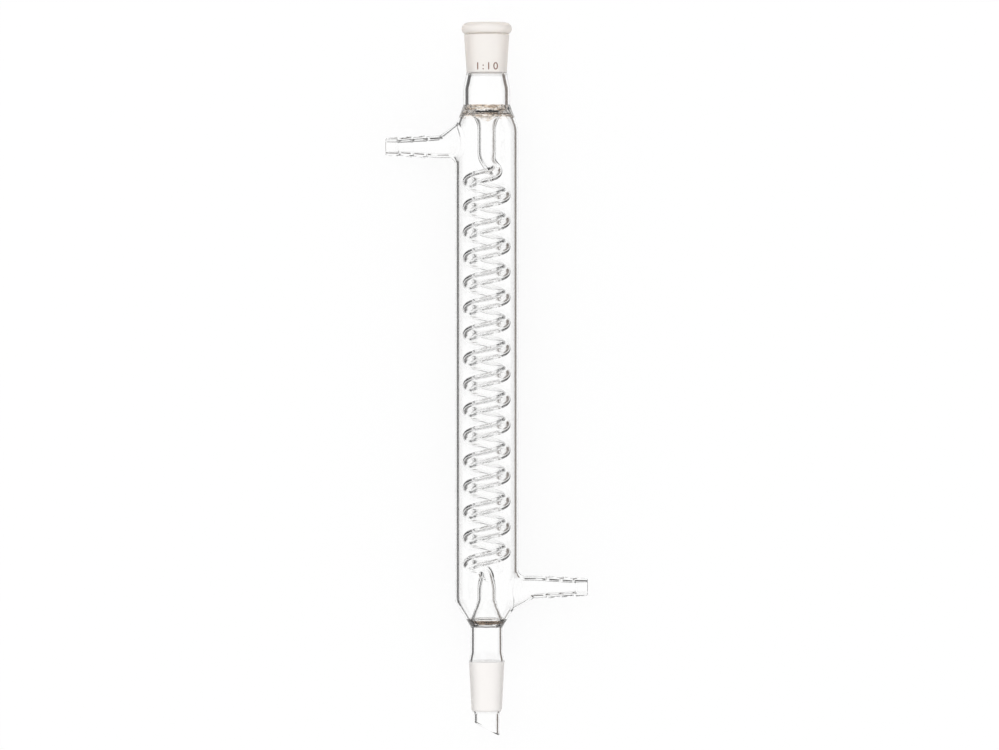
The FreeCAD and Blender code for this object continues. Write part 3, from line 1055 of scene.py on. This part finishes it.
def studio_world(room_light):
    """Plain white room, with a bright sheet and dark cards for what comes through the glass.

    The direction in which light leaves the glass says what it shows: the sheet right below,
    the cards beside it and beyond its ends, and white towards the horizon and above it.
    """
    white = (1, 1, 1, 1)
    strand_lean = 0.35
    world = bpy.data.worlds.new("studio")
    world.use_nodes = True
    tree = world.node_tree
    tree.nodes.clear()
    path = add_node(tree, "LightPath")
    place = add_node(tree, "TexCoord")
    split = add_node(tree, "SeparateXYZ")
    # Dark cards left and right of the sheet, and the zone along the sheet in which they stand
    sides = ramp_node(tree, card_marks(LEFT_CARD, (-0.46, -0.40), (0.42, 0.48), RIGHT_CARD, 0.9))
    beside = ramp_node(tree, zone_marks((-0.50, -0.36), (0.46, 0.58)))
    # Dark cards beyond the tip's and the socket's end, and their zone across the sheet. The zone
    # leans as the coil's upper strands do, so that these show the cards and the lower ones don't
    ends = ramp_node(tree, card_marks(TIP_END_CARD, (-0.60, -0.53), (0.38, 0.44),
                                      SOCKET_END_CARD, 0.95))
    beyond = ramp_node(tree, zone_marks((-0.36, -0.28), (0.28, 0.36)))
    lean = add_node(tree, "Math", {1: strand_lean}, operation="MULTIPLY_ADD")
    # White towards the horizon and above it
    above = ramp_node(tree, ((-1.0, 0.0), (-0.34, 0.0), (-0.26, 1.0), (1.0, 1.0)))
    side_cards, end_cards, room = [
        add_node(tree, "Mix", {"B": white}, data_type="RGBA") for count in range(3)]
    cards = add_node(tree, "Mix", {"Factor": 1.0}, data_type="RGBA", blend_type="MULTIPLY")
    plain = add_node(tree, "Background", {"Color": white, "Strength": room_light})
    bright = add_node(tree, "Background", {"Color": white})
    sheet = add_node(tree, "Background")
    seen = add_node(tree, "MixShader")
    through = add_node(tree, "MixShader")
    # Light that a ground surface has scattered comes from the plain room
    fresh = add_node(tree, "Math", operation="SUBTRACT", use_clamp=True)
    output = add_node(tree, "OutputWorld")
    join(tree,
         (place, "Generated", split, "Vector"),
         (split, "Y", lean, 0),
         (split, "X", lean, 2))
    for source, part, ramps in ((split, "X", (sides,)), (lean, "Value", (beyond,)),
                                (split, "Y", (ends, beside)), (split, "Z", (above,))):
        spread = add_node(tree, "MapRange", {"From Min": -1.0, "From Max": 1.0})
        join(tree, (source, part, spread, "Value"))
        for ramp in ramps:
            join(tree, (spread, "Result", ramp, "Fac"))
    join(tree,
         (sides, "Color", side_cards, "A"),
         (beside, "Color", side_cards, "Factor"),
         (ends, "Color", end_cards, "A"),
         (beyond, "Color", end_cards, "Factor"),
         (side_cards, "Result", cards, "A"),
         (end_cards, "Result", cards, "B"),
         (cards, "Result", room, "A"),
         (above, "Color", room, "Factor"),
         (room, "Result", sheet, "Color"),
         (seen_directly(tree, path), "Value", seen, "Fac"),
         (plain, "Background", seen, 1),
         (bright, "Background", seen, 2),
         (path, "Is Transmission Ray", fresh, 0),
         (path, "Diffuse Depth", fresh, 1),
         (fresh, "Value", through, "Fac"),
         (seen, "Shader", through, 1),
         (sheet, "Background", through, 2),
         (through, "Shader", output, "Surface"))
    return world


class CONDENSER_OT_stage(bpy.types.Operator):
    """Lay the condenser on a pale floor in plain soft light, with the camera looking down on it."""

    bl_idname = "condenser.stage"
    bl_label = "Stage"
    bl_options = {"REGISTER", "UNDO"}

    def execute(self, context):
        scene = context.scene
        settings = scene.condenser_stage
        at = layout(scene)
        mesh = bpy.data.meshes.new("floor")
        half = settings.floor_size / 2
        corners = [(-half, -half, 0), (half, -half, 0), (half, half, 0), (-half, half, 0)]
        mesh.from_pydata(corners, [], [(0, 1, 2, 3)])
        floor = bpy.data.objects.new("floor", mesh)
        floor.data.materials.append(floor_material(settings.floor_colour))
        scene.collection.objects.link(floor)
        scene.world = studio_world(settings.room_light)
        lamp = bpy.data.lights.new("soft_lamp", "AREA")
        lamp.shape = "DISK"
        lamp.size = settings.lamp_size
        lamp.energy = settings.lamp_power
        lamp_object = bpy.data.objects.new("soft_lamp", lamp)
        lamp_object.location = settings.lamp_place
        lamp_object.rotation_euler = settings.lamp_turn
        scene.collection.objects.link(lamp_object)
        camera = bpy.data.cameras.new("camera")
        camera.sensor_width = 36.0
        camera.lens = camera.sensor_width * settings.camera_height / settings.view_width
        camera.clip_end = 50.0
        camera_object = bpy.data.objects.new("camera", camera)
        camera_z = at.jacket_r + settings.camera_height
        camera_object.location = (settings.centre_x, settings.centre_y, camera_z)
        scene.collection.objects.link(camera_object)
        scene.camera = camera_object
        scene.view_settings.view_transform = "Standard"
        # Light crosses a dozen and more surfaces of glass on its way through the coil
        scene.cycles.max_bounces = 32
        scene.cycles.transmission_bounces = 32
        scene.cycles.diffuse_bounces = 16
        scene.cycles.transparent_max_bounces = 16
        return {"FINISHED"}


class CONDENSER_PT_panel(bpy.types.Panel):
    """Sizes, finishes and stage of the condenser, and the buttons that build them."""

    bl_idname = "CONDENSER_PT_panel"
    bl_label = "Coil condenser"
    bl_space_type = "VIEW_3D"
    bl_region_type = "UI"
    bl_category = "Condenser"

    def draw(self, context):
        for name in GROUPS:
            group = getattr(context.scene, name)
            box = self.layout.box()
            box.label(text=GROUPS[name].__doc__)
            for key in GROUPS[name].__annotations__:
                box.prop(group, key)
        self.layout.operator(CONDENSER_OT_glass_body.bl_idname)
        self.layout.operator(CONDENSER_OT_socket_print.bl_idname)
        self.layout.operator(CONDENSER_OT_stage.bl_idname)


GROUPS = {
    "condenser_joint": JointSizes,
    "condenser_jacket": JacketSizes,
    "condenser_coil": CoilSizes,
    "condenser_hose": HoseSizes,
    "condenser_finish": FinishSettings,
    "condenser_stage": StageSettings,
}

CLASSES = (*GROUPS.values(), CONDENSER_OT_glass_body, CONDENSER_OT_socket_print, CONDENSER_OT_stage,
           CONDENSER_PT_panel)


def register():
    """Makes the classes known, and gives every scene the groups of sizes and colours."""
    for item in CLASSES:
        bpy.utils.register_class(item)
    for name, group in GROUPS.items():
        setattr(bpy.types.Scene, name, PointerProperty(type=group))


def unregister():
    """Takes away what register has made."""
    for name in GROUPS:
        delattr(bpy.types.Scene, name)
    for item in reversed(CLASSES):
        bpy.utils.unregister_class(item)


def main():
    register()
    bpy.ops.condenser.glass_body()
    bpy.ops.condenser.socket_print()
    bpy.ops.condenser.stage()


if __name__ == "__main__":
    main()
